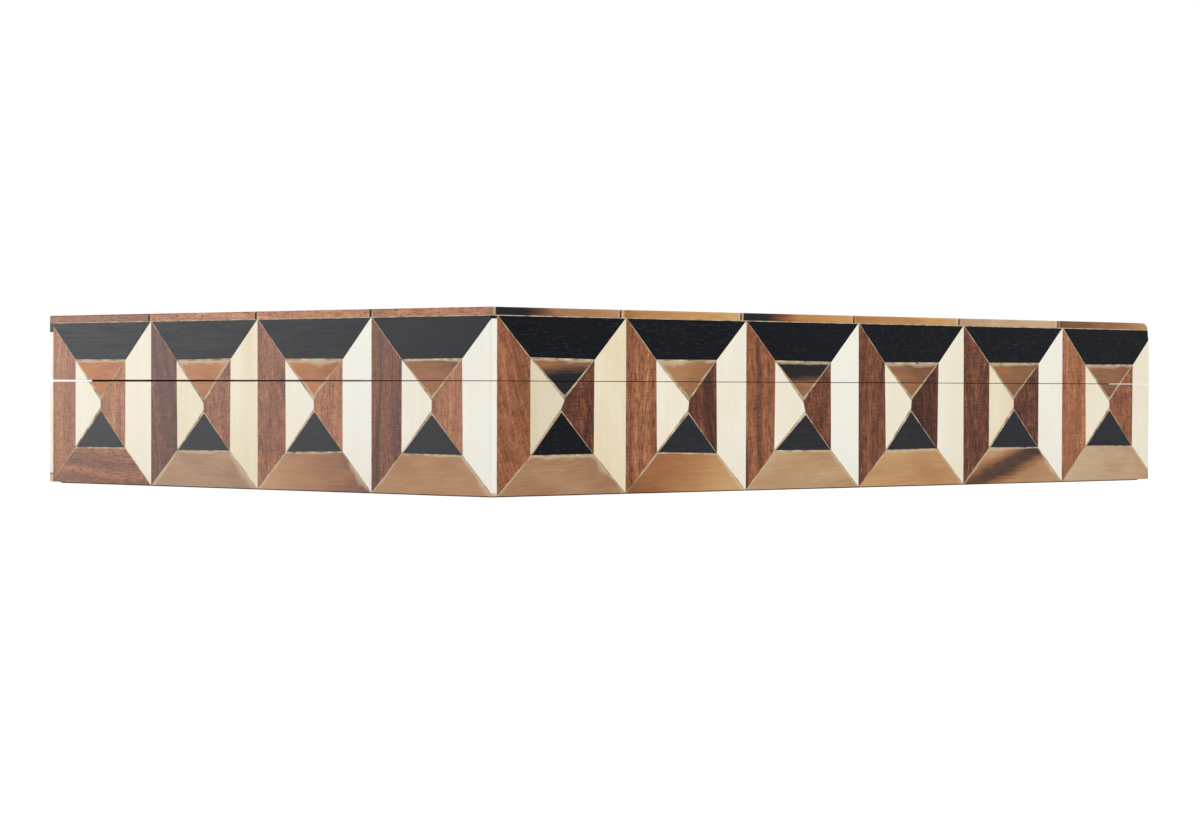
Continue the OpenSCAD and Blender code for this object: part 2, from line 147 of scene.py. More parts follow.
# How near a corner must be to the edge of a piece, to the old place of a piece's corner, to the
# end of a face and to the back of the skin that covers that end, to count as lying there
ON_EDGE = 0.004 * MM
SAME_CORNER = 0.006 * MM
AT_END = 0.01 * MM
AT_SKIN = 0.06 * MM

# Middle of the saw cut between base and lid
SAW_CUT = 31.76 * MM


# ---- Meshes ----

# Edges sharper than this stay crisp, faces flatter than this become one, and corners nearer than
# this are one corner
SHARP_ANGLE = math.radians(40)
FLAT_ANGLE = math.radians(0.05)
MERGE_DISTANCE = 0.0005 * MM
CUT_TOLERANCE = 1e-7


def mesh_object(name, bm, material, smooth=True):
    """A new object from a finished bmesh, with its place in the mesh."""
    for edge in bm.edges:
        edge.smooth = len(edge.link_faces) != 2 or edge.calc_face_angle() < SHARP_ANGLE
    mesh = bpy.data.meshes.new(name)
    bm.to_mesh(mesh)
    bm.free()
    mesh.materials.append(material)
    for polygon in mesh.polygons:
        polygon.use_smooth = smooth
    obj = bpy.data.objects.new(name, mesh)
    bpy.context.scene.collection.objects.link(obj)
    return obj


def merged_copy(node):
    """A bmesh of a CAD node with the corners of its loose triangles joined."""
    bm = bmesh.new()
    bm.from_mesh(frame["nodes"][node].data)
    bmesh.ops.remove_doubles(bm, verts=bm.verts, dist=MERGE_DISTANCE)
    return bm


def islands(bm):
    """The separate pieces in a bmesh, each a list of its vertices."""
    bm.verts.index_update()
    seen, found = set(), []
    for first in bm.verts:
        if first.index in seen:
            continue
        seen.add(first.index)
        group = [first]
        for vert in group:
            for edge in vert.link_edges:
                other = edge.other_vert(vert)
                if other.index not in seen:
                    seen.add(other.index)
                    group.append(other)
        found.append(group)
    return found


# ---- Marquetry: where each piece lies ----

def tile_grid(face):
    """First corner of a face's tiles, and a tile's width and height."""
    width = (LENGTH + 2 * TOP_TRIM) / TILES_LONG
    if face == "top":
        height = (DEPTH + 2 * TOP_TRIM) / TILES_DEEP
        return Vector((-LENGTH / 2 - TOP_TRIM, -DEPTH / 2 - TOP_TRIM)), width, height
    height = HEIGHT - SKIN - GLUE_BED - LIFT
    if face in ("front", "back"):
        return Vector((SKIN - LENGTH / 2 - GLUE_LINE / 2, LIFT)), width, height
    return Vector((SKIN / 2 - DEPTH / 2, LIFT)), DEPTH / TILES_DEEP, height


def tile_corners(face):
    """The named corners of a tile, from its own first corner."""
    _, w, h = tile_grid(face)
    spill = 0 if face == "top" else GLUE_LINE
    return {
        "A": Vector((0, -spill)), "B": Vector((w, -spill)),
        "C": Vector((w, h + spill)), "D": Vector((0, h + spill)),
        "a": Vector((SLIP_SIDE, SLIP_LOW)), "b": Vector((w - SLIP_SIDE, SLIP_LOW)),
        "c": Vector((w - SLIP_SIDE, h - SLIP_HIGH)), "d": Vector((SLIP_SIDE, h - SLIP_HIGH)),
        "t": Vector((w / 2, h / 2 - BLUNT_TIP / 2)), "T": Vector((w / 2, h / 2 + BLUNT_TIP / 2)),
    }


def on_face(face, point):
    """A point's place on a face: how far right and how far up."""
    right, up, _ = FACES[face]
    return Vector((point.dot(right), point.dot(up)))


def place_of(face, wood, group):
    """The tile and the part of the tile that a piece of inlay belongs to."""
    start, w, h = tile_grid(face)
    centre = sum((on_face(face, v.co) for v in group), Vector((0, 0))) / len(group) - start
    tile = (int(centre.x // w), int(centre.y // h))
    across, up = centre.x / w - tile[0], centre.y / h - tile[1]
    if wood == "ebony":
        part = "top slip" if up > EBONY_TOP else "bottom wedge"
    elif wood == "horn":
        part = "bottom slip" if up < HORN_BOTTOM else "top wedge"
    elif wood == "bone":
        part = "right slip" if across > BONE_RIGHT else "left wedge"
    elif across < ROSEWOOD_LEFT:
        part = "left slip"
    else:
        part = "bottom slip" if up < ROSEWOOD_BOTTOM else "right wedge"
    return tile, part


def chance(*words):
    """A random source that belongs to one piece, the same for both sides of the saw cut."""
    return random.Random("-".join(str(w) for w in words))


def wandered(face, tile, name):
    """How far hand cutting has moved a corner of a tile. Tiles share their own corners."""
    if name in "ABCD":
        column, row = tile[0] + (name in "BC"), tile[1] + (name in "CD")
        shift = chance(face, column, row).uniform(-SHARED_WANDER, SHARED_WANDER)
        return Vector((shift * WANDER, 0))
    luck = chance(face, tile, name)
    step = Vector((luck.uniform(-1, 1), luck.uniform(-1, 1))) * WANDER
    tips = TIPS.get((face, name), ())
    if tile[0] < len(tips):
        step += Vector(tips[tile[0]]) * MM
    return step


def rim_shift(face, tile, name):
    """How far the outer end of a mitre is shifted along the rim of the top."""
    shift = Vector((0, 0))
    if face == "top" and name in RIM_SHIFTS:
        if tile[1] == (TILES_DEEP - 1) * (name in "CD"):
            shift.x = RIM_SHIFTS[name][0] * MM
        if tile[0] == (TILES_LONG - 1) * (name in "BC"):
            shift.y = RIM_SHIFTS[name][1] * MM
    return shift


def joint_lines(face, tile, part):
    """A piece's edges, each a point and the inward normal in the CAD and after hand cutting."""
    start, w, h = tile_grid(face)
    corner = start + Vector((tile[0] * w, tile[1] * h))
    names, points = PIECES[part], tile_corners(face)
    lines = []
    for first, second in zip(names, names[1:] + names[0]):
        p, q = corner + points[first], corner + points[second]
        across = Vector((p.y - q.y, q.x - p.x)).normalized()
        cut_p, cut_q = p + wandered(face, tile, first), q + wandered(face, tile, second)
        if first.lower() == second.lower():
            cut_p += rim_shift(face, tile, first)
            cut_q += rim_shift(face, tile, second)
        cut_p.y += TIP_GAPS.get((part, first), 0)
        cut_q.y += TIP_GAPS.get((part, second), 0)
        cut_across = Vector((cut_p.y - cut_q.y, cut_q.x - cut_p.x)).normalized()
        width = JOINTS["".join(sorted(first + second))] * MM
        width *= chance(face, tile, part, first).uniform(*LINE_VARIES)
        cut_edge = cut_p + cut_across * width / 2
        lines.append((p + across * GLUE_LINE / 2, across, cut_edge, cut_across))
    return lines


def crossing(p, n, q, m):
    """Where the line through p with normal n meets the line through q with normal m."""
    nearly_parallel = 0.05
    turn = n.x * m.y - n.y * m.x
    if abs(turn) < nearly_parallel:
        return None
    a, b = n.dot(p), m.dot(q)
    return Vector(((a * m.y - b * n.y) / turn, (b * n.x - a * m.x) / turn))


def fitted(face, point, lines):
    """Where a corner of a piece goes when the piece's edges are trimmed by hand."""
    near = [line for line in lines if abs((point - line[0]).dot(line[1])) < ON_EDGE]
    if not near:
        return point
    if len(near) > 1:
        return crossing(near[0][2], near[0][3], near[1][2], near[1][3]) or point
    # A corner on one joint only lies on the border of the face, and slides along that
    half = (LENGTH if face in ("front", "back", "top") else DEPTH) / 2
    at_end = half - abs(point.x) < AT_END or abs(point.x + half - SKIN) < AT_SKIN
    border = Vector((1, 0)) if at_end else Vector((0, 1))
    return crossing(near[0][2], near[0][3], point, border) or point


def cut_by_hand(bm, face, wood, moves):
    """Trims the edges of every piece in a skin a little unevenly, and notes each corner's move."""
    right, up, _ = FACES[face]
    for group in islands(bm):
        tile, part = place_of(face, wood, group)
        lines = joint_lines(face, tile, part)
        for vert in group:
            here = on_face(face, vert.co)
            step = fitted(face, here, lines) - here
            if step.length > 0:
                old = vert.co.copy()
                vert.co += right * step.x + up * step.y
                moves.append((old, vert.co.copy()))


def follow(bm, moves):
    """Moves the corners of the glue web with the pieces that bound it."""
    tree = kdtree.KDTree(len(moves))
    for k, (old, _) in enumerate(moves):
        tree.insert(old, k)
    tree.balance()
    for vert in bm.verts:
        _, k, distance = tree.find(vert.co)
        if distance < SAME_CORNER:
            vert.co = moves[k][1]


# ---- Softened outer edges ----

# Radius of the outer edges, and the cuts that follow it
EASE = 0.45 * MM
EASE_STEPS = 3

# The corner at the right end of the front has been knocked and worn rounder: how round it is at
# its tip, how far down the edges that fades out, and where the mesh is cut to follow it
WORN_CORNER = Vector((LENGTH / 2, -DEPTH / 2, HEIGHT))
WORN_EASE = 2.1 * MM
WORN_REACH = 7 * MM
WORN_CUTS = (0.3 * MM, 0.6 * MM, 1.0 * MM, 1.5 * MM, 2.1 * MM, 3.2 * MM, 4.8 * MM, 7 * MM)


def ease_at(point):
    """The radius of the rounding near a point."""
    wear = max(0, 1 - (point - WORN_CORNER).length / WORN_REACH)
    return EASE + (WORN_EASE - EASE) * wear


def cut_square(bm, faces, axis, sign, place):
    """Cuts faces along a plane square to an axis."""
    normal = Vector((0, 0, 0))
    normal[axis] = sign
    geom = {e for f in faces for e in f.edges} | {v for f in faces for v in f.verts} | set(faces)
    bmesh.ops.bisect_plane(
        bm, geom=list(geom), dist=CUT_TOLERANCE, plane_co=normal * place, plane_no=normal,
    )


def ease_edges(bm):
    """Rounds the upright corners of the box and the rim of its top, as sanding and use do."""
    half = Vector((LENGTH / 2, DEPTH / 2, HEIGHT))

    def near_edge(face):
        close = [any(abs(v.co[i]) > half[i] - 2 * EASE for v in face.verts) for i in range(3)]
        return sum(close) >= 2

    def near_wear(face):
        return any((v.co - WORN_CORNER).length < 2 * WORN_REACH for v in face.verts)

    for axis, sign in ((0, -1), (0, 1), (1, -1), (1, 1), (2, 1)):
        for k in range(1, EASE_STEPS + 1):
            faces = [f for f in bm.faces if near_edge(f)]
            cut_square(bm, faces, axis, sign, half[axis] - EASE * k / EASE_STEPS)
    for axis, sign in ((0, 1), (1, -1), (2, 1)):
        for inset in WORN_CUTS:
            faces = [f for f in bm.faces if near_wear(f)]
            cut_square(bm, faces, axis, sign, half[axis] - inset)
    for vert in bm.verts:
        ease = ease_at(vert.co)
        core = Vector((
            min(max(vert.co.x, ease - half.x), half.x - ease),
            min(max(vert.co.y, ease - half.y), half.y - ease),
            min(vert.co.z, half.z - ease),
        ))
        reach = vert.co - core
        if reach.length > ease:
            vert.co = core + reach.normalized() * ease


# ---- Materials ----

def add(tree, kind, inputs=None, **settings):
    """A node with its inputs set to numbers or joined to sockets."""
    node = tree.nodes.new(kind)
    for name, value in settings.items():
        setattr(node, name, value)
    for name, value in (inputs or {}).items():
        if isinstance(value, bpy.types.NodeSocket):
            tree.links.new(value, node.inputs[name])
        else:
            node.inputs[name].default_value = value
    return node


def new_material(name):
    """A new material: itself, its tree and its surface shader."""
    material = bpy.data.materials.new(name)
    material.use_nodes = True
    tree = material.node_tree
    return material, tree, tree.nodes["Principled BSDF"]


def light_of(channel):
    """The light that one channel of a screen colour, 0..255, stands for."""
    share = channel / 255
    return share / 12.92 if share < 0.04045 else ((share + 0.055) / 1.055) ** 2.4


def paint(red, green, blue):
    """A colour given as 0..255 on screen."""
    return light_of(red), light_of(green), light_of(blue)


def ramp(tree, value, *stops):
    """A colour ramp through the stops (place, colour)."""
    node = add(tree, "ShaderNodeValToRGB", {"Fac": value})
    elements = node.color_ramp.elements
    while len(elements) < len(stops):
        elements.new(0.5)
    for element, (place, colour) in zip(elements, stops):
        element.position = place
        element.color = (*colour, 1)
    return node.outputs["Color"]


def noise_of(tree, vector, scale, detail=2.0, roughness=0.5, distortion=0.0, offset=(0, 0, 0)):
    """Noise of the vector with its own scale, in cycles per metre, along each axis."""
    place = add(tree, "ShaderNodeMapping", {"Vector": vector, "Scale": scale, "Location": offset})
    inputs = {
        "Vector": place.outputs[0], "Scale": 1.0, "Detail": detail,
        "Roughness": roughness, "Distortion": distortion,
    }
    return add(tree, "ShaderNodeTexNoise", inputs).outputs["Fac"]


def maths(tree, operation, a, b=0.0, c=0.0, clamp=False):
    """The result of a Math node."""
    inputs = {0: a, 1: b, 2: c}
    return add(tree, "ShaderNodeMath", inputs, operation=operation, use_clamp=clamp).outputs[0]


def times(tree, a, b):
    """Two numbers multiplied."""
    return maths(tree, "MULTIPLY", a, b)


def plus(tree, a, b):
    """Two numbers added."""
    return maths(tree, "ADD", a, b)


def spread(tree, value, low, high, to_low=0.0, to_high=1.0):
    """Maps low..high to to_low..to_high, held at the ends."""
    inputs = {
        "Value": value, "From Min": low, "From Max": high, "To Min": to_low, "To Max": to_high,
    }
    return add(tree, "ShaderNodeMapRange", inputs).outputs["Result"]


def swing(tree, value, amount):
    """The value's distance from its middle of 0.5, times amount."""
    return maths(tree, "MULTIPLY_ADD", value, amount, -0.5 * amount)


def blend_colours(tree, share, a, b, clamp=True):
    """Goes from colour a to b as share goes from 0 to 1, and beyond b where it isn't clamped."""
    settings = {"data_type": "RGBA", "clamp_factor": clamp, "clamp_result": True}
    node = add(tree, "ShaderNodeMix", {"Factor": share}, **settings)
    for name, value in (("A", a), ("B", b)):
        socket = next(s for s in node.inputs if s.name == name and s.type == "RGBA")
        if isinstance(value, bpy.types.NodeSocket):
            tree.links.new(value, socket)
        else:
            socket.default_value = (*value, 1)
    return next(s for s in node.outputs if s.type == "RGBA")


def carried(tree, name, output):
    """What the corners of the inlay carry under a name."""
    return add(tree, "ShaderNodeAttribute", attribute_name=name).outputs[output]


def place_on_object(tree):
    """A point's place in metres, the same for the whole box."""
    return add(tree, "ShaderNodeTexCoord").outputs["Object"]


def piece_inputs(tree):
    """What each piece of inlay carries: its place in its own grain, and its first three tones."""
    grain = carried(tree, "grain", "Vector")
    tones = carried(tree, "tones", "Color")
    parts = add(tree, "ShaderNodeSeparateColor", {"Color": tones}).outputs
    return grain, parts["Red"], parts["Green"], parts["Blue"]


def smeared_filler(tree, grain, colour):
    """Filler wiped over the borders of a piece and left there in places."""
    widest, narrowest = 2.4 * MM, 0.06 * MM
    patches = noise_of(tree, grain, (60, 60, 60), detail=3, roughness=0.6, offset=(2, 5, 1))
    patches = spread(tree, patches, 0.4, 0.7, 0.0, widest)
    reach = maths(tree, "MULTIPLY_ADD", patches, carried(tree, "smear", "Fac"), narrowest)
    borders = carried(tree, "borders", "Vector")
    borders = add(tree, "ShaderNodeSeparateXYZ", {"Vector": borders}).outputs
    broad = times(tree, borders["X"], 0.5)
    nearest = maths(tree, "MINIMUM", maths(tree, "MINIMUM", broad, borders["Y"]), borders["Z"])
    left = spread(tree, maths(tree, "DIVIDE", nearest, reach), 0.1, 1.0, 0.65, 0.0)
    return blend_colours(tree, left, colour, paint(212, 194, 164))


def grimy_cut(tree, colour):
    """Painted shade in the saw cut: darkens the edges along the cut in patches, where it opens
    towards the back.
    """
    place = place_on_object(tree)
    parts = add(tree, "ShaderNodeSeparateXYZ", {"Vector": place}).outputs
    away = maths(tree, "ABSOLUTE", maths(tree, "SUBTRACT", parts["Z"], SAW_CUT))
    patches = noise_of(tree, place, (70, 70, 0), detail=2, roughness=0.6)
    near = spread(tree, away, 0.16 * MM, 0.5 * MM, 1.0, 0.0)
    share = times(tree, near, spread(tree, patches, 0.3, 0.7, 0.35, 0.85))
    open_part = spread(tree, parts["Y"], -60 * MM, -45 * MM)
    # The dark brown of the painted shade, laid only where the cut opens towards the back
    return blend_colours(tree, times(tree, share, open_part), colour, paint(52, 38, 28))


def relief(tree, shader, height, depth):
    """Raises and sinks a surface with height, through the given depth."""
    bump = add(tree, "ShaderNodeBump", {"Height": height, "Distance": depth, "Strength": 1.0})
    tree.links.new(bump.outputs["Normal"], shader.inputs["Normal"])


# How much of the light a waxed surface throws back
WAX_GLOSS = 0.12
EBONY_GLOSS = 0.08


def wax(tree, shader, colour, roughness, pores=None, depth=0.0):
    """Finishes a surface with a thin coat of wax over colour, and sinks its open pores."""
    tree.links.new(colour, shader.inputs["Base Color"])
    tree.links.new(roughness, shader.inputs["Roughness"])
    shader.inputs["Specular IOR Level"].default_value = WAX_GLOSS
    if pores is not None:
        relief(tree, shader, maths(tree, "SUBTRACT", 1.0, pores), depth)


def ebony_material():
    """Its first tone is how grey the piece has worn."""
    material, tree, shader = new_material("ebony")
    grain, grey, _, _ = piece_inputs(tree)
    pores = noise_of(tree, grain, (420, 3300, 3300), detail=1)
    fibres = noise_of(tree, grain, (60, 1300, 1300), detail=3, roughness=0.6)
    worn = noise_of(tree, grain, (40, 70, 70), detail=1)
    shade = plus(tree, grey, swing(tree, fibres, 0.7))
    colour = ramp(
        tree, shade,
        (0.0, paint(1, 3, 9)), (0.5, paint(18, 20, 26)), (1.0, paint(42, 43, 47)),
    )
    open_pores = spread(tree, plus(tree, pores, swing(tree, worn, 0.15)), 0.6, 0.72)
    colour = blend_colours(tree, times(tree, open_pores, 0.4), colour, paint(58, 61, 66))
    roughness = spread(tree, fibres, 0.3, 0.7, 0.34, 0.44)
    wax(tree, shader, colour, roughness, open_pores, 0.01 * MM)
    shader.inputs["Specular IOR Level"].default_value = EBONY_GLOSS
    return material


def rosewood_material():
    """Its tones are how light the piece is, how mottled, and how far dark stains show."""
    material, tree, shader = new_material("rosewood")
    grain, light, figure, stains = piece_inputs(tree)
    bend = swing(tree, noise_of(tree, grain, (22, 45, 45), detail=1), 8 * MM)
    bend = add(tree, "ShaderNodeCombineXYZ", {"Y": bend}).outputs[0]
    flow = add(tree, "ShaderNodeVectorMath", {0: grain, 1: bend}, operation="ADD").outputs[0]
    bands = noise_of(tree, flow, (10, 330, 330), detail=3, roughness=0.6)
    fibres = noise_of(tree, flow, (200, 1500, 1500), detail=3, roughness=0.7)
    mottle = noise_of(tree, grain, (130, 300, 300), detail=4, roughness=0.7, distortion=0.6)
    scratches = noise_of(tree, grain, (2300, 260, 260), detail=1, offset=(1, 2, 3))
    pores = noise_of(tree, flow, (480, 2500, 2500), detail=1)
    specks = noise_of(tree, grain, (1100, 2200, 2200), detail=1)
    pores = maths(tree, "MULTIPLY_ADD", figure, maths(tree, "SUBTRACT", specks, pores), pores)
    bands = maths(tree, "MULTIPLY_ADD", figure, maths(tree, "SUBTRACT", mottle, bands), bands)
    shade = plus(tree, light, swing(tree, bands, 0.95))
    shade = plus(tree, shade, swing(tree, fibres, 0.85))
    shade = plus(tree, shade, swing(tree, scratches, 0.35))
    colour = ramp(
        tree, shade,
        (0.0, paint(46, 25, 20)), (0.28, paint(98, 56, 42)), (0.55, paint(147, 92, 63)),
        (0.8, paint(182, 122, 84)), (1.0, paint(212, 154, 110)),
    )
    streaks = noise_of(tree, flow, (8, 200, 200), detail=2, offset=(3, 1, 0))
    streaks = times(tree, spread(tree, streaks, 0.54, 0.7), stains)
    colour = blend_colours(tree, streaks, colour, paint(50, 28, 24))
    open_pores = spread(tree, pores, 0.56, 0.66)
    colour = blend_colours(tree, times(tree, open_pores, 0.6), colour, paint(50, 27, 21))
    roughness = spread(tree, fibres, 0.3, 0.7, 0.34, 0.44)
    wax(tree, shader, colour, roughness, open_pores, 0.015 * MM)
    return material


def bone_material():
    """Its tones are how warm the piece is, how far its fine canals show, and how dull it is."""
    material, tree, shader = new_material("bone")
    grain, warmth, canals, dull = piece_inputs(tree)
    veins = noise_of(tree, grain, (14, 170, 170), detail=2, distortion=0.6)
    clouds = noise_of(tree, grain, (40, 75, 75), detail=2)
    lines = noise_of(tree, grain, (130, 2400, 2400), detail=1)
    warm = plus(tree, warmth, swing(tree, veins, 0.5))
    warm = plus(tree, warm, swing(tree, clouds, 0.7))
    colour = ramp(
        tree, warm,
        (0.0, paint(247, 244, 232)), (0.5, paint(243, 233, 210)), (1.0, paint(233, 216, 179)),
    )
    lines = times(tree, spread(tree, lines, 0.6, 0.75), canals)
    colour = blend_colours(tree, times(tree, lines, 0.3), colour, paint(206, 184, 142))
    colour = blend_colours(tree, dull, colour, paint(176, 160, 136))
    # The bone is darkened along the saw cut with painted shade
    wax(tree, shader, grimy_cut(tree, colour), spread(tree, veins, 0.3, 0.7, 0.3, 0.4))
    shader.inputs["Subsurface Weight"].default_value = 0.06
    shader.inputs["Subsurface Radius"].default_value = (1.2, 0.9, 0.6)
    shader.inputs["Subsurface Scale"].default_value = 0.6 * MM
    return material


def horn_material():
    """Its tones are how dark the piece is, where it lies across its dark streak, how amber it is,
    and how strong the streak is."""
    material, tree, shader = new_material("horn")
    grain, dark, across, amber = piece_inputs(tree)
    clouds = noise_of(tree, grain, (38, 80, 80), detail=2, distortion=0.4)
    threads = noise_of(tree, grain, (140, 1500, 1500), detail=2, roughness=0.6)
    wisps = noise_of(tree, grain, (35, 330, 330), detail=3, roughness=0.6, distortion=0.5)
    edge = plus(tree, across, swing(tree, wisps, 0.7))
    streak = spread(tree, maths(tree, "ABSOLUTE", edge), 0.35, 1.35, 1.0, 0.0)
    streak = times(tree, streak, carried(tree, "tones", "Alpha"))
    depth = plus(tree, dark, swing(tree, clouds, 0.4))
    depth = plus(tree, depth, swing(tree, threads, 0.2))
    depth = maths(tree, "ADD", depth, streak, clamp=True)
    tan = ramp(
        tree, depth,
        (0.0, paint(214, 194, 162)), (0.25, paint(190, 156, 122)), (0.5, paint(156, 115, 84)),
        (0.72, paint(96, 70, 56)), (0.95, paint(24, 23, 27)),
    )
    golden = ramp(
        tree, depth,
        (0.0, paint(220, 184, 120)), (0.25, paint(200, 146, 84)), (0.5, paint(168, 106, 56)),
        (0.72, paint(102, 62, 40)), (0.95, paint(26, 22, 24)),
    )
    colour = blend_colours(tree, amber, tan, golden, clamp=False)
    colour = smeared_filler(tree, grain, colour)
    # The horn is darkened along the saw cut with painted shade
    wax(tree, shader, grimy_cut(tree, colour), spread(tree, threads, 0.3, 0.7, 0.28, 0.38))
    return material


def filler_material():
    """The pale filler between the pieces, with dirt rubbed into it here and there."""
    material, tree, shader = new_material("dried filler")
    grime = noise_of(tree, place_on_object(tree), (260, 260, 260), detail=3, roughness=0.6)
    colour = ramp(
        tree, grime,
        (0.34, paint(132, 106, 80)), (0.5, paint(186, 163, 131)), (0.66, paint(214, 201, 172)),
    )
    tree.links.new(colour, shader.inputs["Base Color"])
    shader.inputs["Roughness"].default_value = 0.6
    shader.inputs["Specular IOR Level"].default_value = WAX_GLOSS
    return material


def walnut_material(name, runs_along_x):
    """Plain walnut for boards that run along X or along Y."""
    material, tree, shader = new_material(name)
    place = place_on_object(tree)
    band_scale, pore_scale = (6, 70, 190), (170, 1700, 2800)
    if not runs_along_x:
        band_scale, pore_scale = (70, 6, 190), (1700, 170, 2800)
    bands = noise_of(tree, place, band_scale, detail=3, roughness=0.55, distortion=0.6)
    pores = noise_of(tree, place, pore_scale, detail=2, roughness=0.6)
    shade = plus(tree, bands, swing(tree, pores, 0.3))
    colour = ramp(
        tree, shade,
        (0.3, paint(82, 58, 42)), (0.5, paint(106, 78, 57)), (0.72, paint(132, 100, 74)),
    )
    open_pores = spread(tree, pores, 0.57, 0.68)
    colour = blend_colours(tree, times(tree, open_pores, 0.5), colour, paint(50, 34, 25))
    roughness = spread(tree, bands, 0.3, 0.7, 0.45, 0.55)
    wax(tree, shader, colour, roughness, open_pores, 0.03 * MM)
    return material


def velvet_material():
    """Crimson pile, darker where it parts and brushed lighter in broad patches."""
    material, tree, shader = new_material("crimson velvet")
    place = place_on_object(tree)
    pile = noise_of(tree, place, (2600, 2600, 2600), detail=2, roughness=0.6)
    brushed = noise_of(tree, place, (18, 36, 36), detail=2, distortion=0.3)
    colour = ramp(tree, brushed, (0.3, paint(104, 18, 29)), (0.7, paint(121, 24, 36)))
    colour = blend_colours(tree, spread(tree, pile, 0.3, 0.7, 0.0, 0.5), colour, paint(58, 8, 16))
    tree.links.new(colour, shader.inputs["Base Color"])
    shader.inputs["Roughness"].default_value = 0.95
    shader.inputs["Specular IOR Level"].default_value = 0.05
    shader.inputs["Sheen Weight"].default_value = 0.3
    shader.inputs["Sheen Roughness"].default_value = 0.4
    shader.inputs["Sheen Tint"].default_value = (0.9, 0.35, 0.4, 1)
    relief(tree, shader, pile, 0.12 * MM)
    return material


def felt_material():
    """Dark pressed felt with a fluffy face."""
    material, tree, shader = new_material("dark felt")
    fluff = noise_of(tree, place_on_object(tree), (1500, 1500, 1500), detail=4, roughness=0.7)
    colour = ramp(tree, fluff, (0.3, paint(30, 29, 29)), (0.7, paint(62, 60, 58)))
    tree.links.new(colour, shader.inputs["Base Color"])
    shader.inputs["Roughness"].default_value = 0.98
    shader.inputs["Specular IOR Level"].default_value = 0.1
    relief(tree, shader, fluff, 0.15 * MM)
    return material


def brass_material():
    """Rolled brass, tarnished in patches and rubbed along its length."""
    material, tree, shader = new_material("worn brass")
    place = place_on_object(tree)
    rubbed = noise_of(tree, place, (60, 1800, 1800), detail=2, roughness=0.6)
    tarnish = noise_of(tree, place, (180, 180, 180), detail=3, roughness=0.6)
    colour = ramp(tree, tarnish, (0.3, paint(150, 116, 66)), (0.6, paint(208, 172, 104)))
    tree.links.new(colour, shader.inputs["Base Color"])
    tree.links.new(spread(tree, rubbed, 0.3, 0.7, 0.28, 0.42), shader.inputs["Roughness"])
    shader.inputs["Metallic"].default_value = 1.0
    return material


MATERIALS = {
    "ebony": ebony_material(),
    "rosewood": rosewood_material(),
    "bone": bone_material(),
    "horn": horn_material(),
    "glue": filler_material(),
    "walnut": walnut_material("walnut", True),
    "side walnut": walnut_material("walnut_side_boards", False),
    "velvet": velvet_material(),
    "felt": felt_material(),
    "brass": brass_material(),
}


# ---- Marquetry: how each piece was chosen from its wood, bone or horn ----

# Ebony: how grey it has worn
EBONY = {
    "black": (0.05,),
    "sooty": (0.45,),
    "worn": (0.9,),
}

# Rosewood: how light, how mottled, how far dark stains show, and how far its grain leans
ROSEWOOD = {
    "pale": (0.76, 0.15, 0.0, 4),
    "fair": (0.68, 0.2, 0.1, -3),
    "straight": (0.6, 0.0, 0.2, 0),
    "leaning": (0.56, 0.45, 0.3, 20),
    "mottled": (0.55, 0.9, 0.1, 8),
    "figured": (0.52, 0.15, 0.9, 6),
    "dark": (0.42, 0.2, 0.4, -4),
    "russet": (0.36, 0.2, 0.2, -4),
    "stained": (0.3, 0.25, 1.0, 9),
    "burred": (0.34, 1.0, 0.2, 0),
    "deep": (0.25, 0.25, 0.3, 5),
    "plum": (0.26, 0.9, 0.2, 3),
    "dusky": (0.14, 0.3, 0.2, 3),
}

# Horn: how dark and how amber (past 1 it turns orange), how the dark grows to the right and upwards
# over a tile, its dark streak as the direction across it in degrees, its place and its half width
# in millimetres and its strength, and how much filler is left on its borders
HORN = {
    "tan": (0.38, 0.4, (0, 0), None, 0.6),
    "pink": (0.46, 0.05, (0.0, 0.05), None, 0.9),
    "rosy": (0.34, 0.15, (0.05, 0.1), None, 0.3),
    "honey": (0.36, 0.5, (0.0, 0.1), None, 0.7),
    "tawny": (0.52, 1.3, (0.05, -0.1), None, 0.7),
    "brown": (0.56, 0.35, (0.1, -0.1), None, 0.8),
    "umber": (0.64, 0.4, (0.05, -0.1), None, 0.35),
    "treacle": (0.67, 0.95, (0.05, -0.1), None, 0.35),
    "amber": (0.32, 0.75, (-0.15, 0.0), None, 0.3),
    "orange": (0.47, 1.7, (0.0, 0.1), None, 0.2),
    "golden": (0.46, 0.6, (-0.2, 0.1), None, 0.4),
    "turning": (0.48, 0.5, (0.2, 0.0), None, 0.8),
    "grey": (0.24, 0.0, (0.1, 0.0), None, 0.2),
    "pale": (0.2, 0.15, (-0.1, 0.0), None, 0.2),
    "ruddy": (0.58, 0.4, (-0.22, 0.0), None, 0.1),
    "clouded": (0.37, 0.35, (0.05, 0.1), (108, -16.8, 4.0, 0.5), 0.7),
    "striped": (0.5, 0.4, (0.0, 0.2), (90, 4.4, 4.8, 0.8), 0.45),
    "smoked": (0.55, 0.4, (0.0, 0.0), (90, 12.9, 4.6, 0.8), 0.25),
    "burnt": (0.42, 0.3, (-0.1, 0.0), (0, -26, 21, 0.8), 0.1),
    "burnt amber": (0.4, 0.9, (-0.2, 0.0), (0, -28, 22, 0.8), 0.1),
}

# Bone: how warm, how far its fine canals show, and how dull
BONE = {
    "white": (0.0, 0.1, 0.0),
    "cream": (0.3, 0.4, 0.0),
    "warm": (0.42, 0.2, 0.0),
    "yellow": (0.75, 0.8, 0.0),
    "dull": (0.7, 0.3, 0.25),
}

CHOICES = {"ebony": EBONY, "rosewood": ROSEWOOD, "horn": HORN, "bone": BONE}

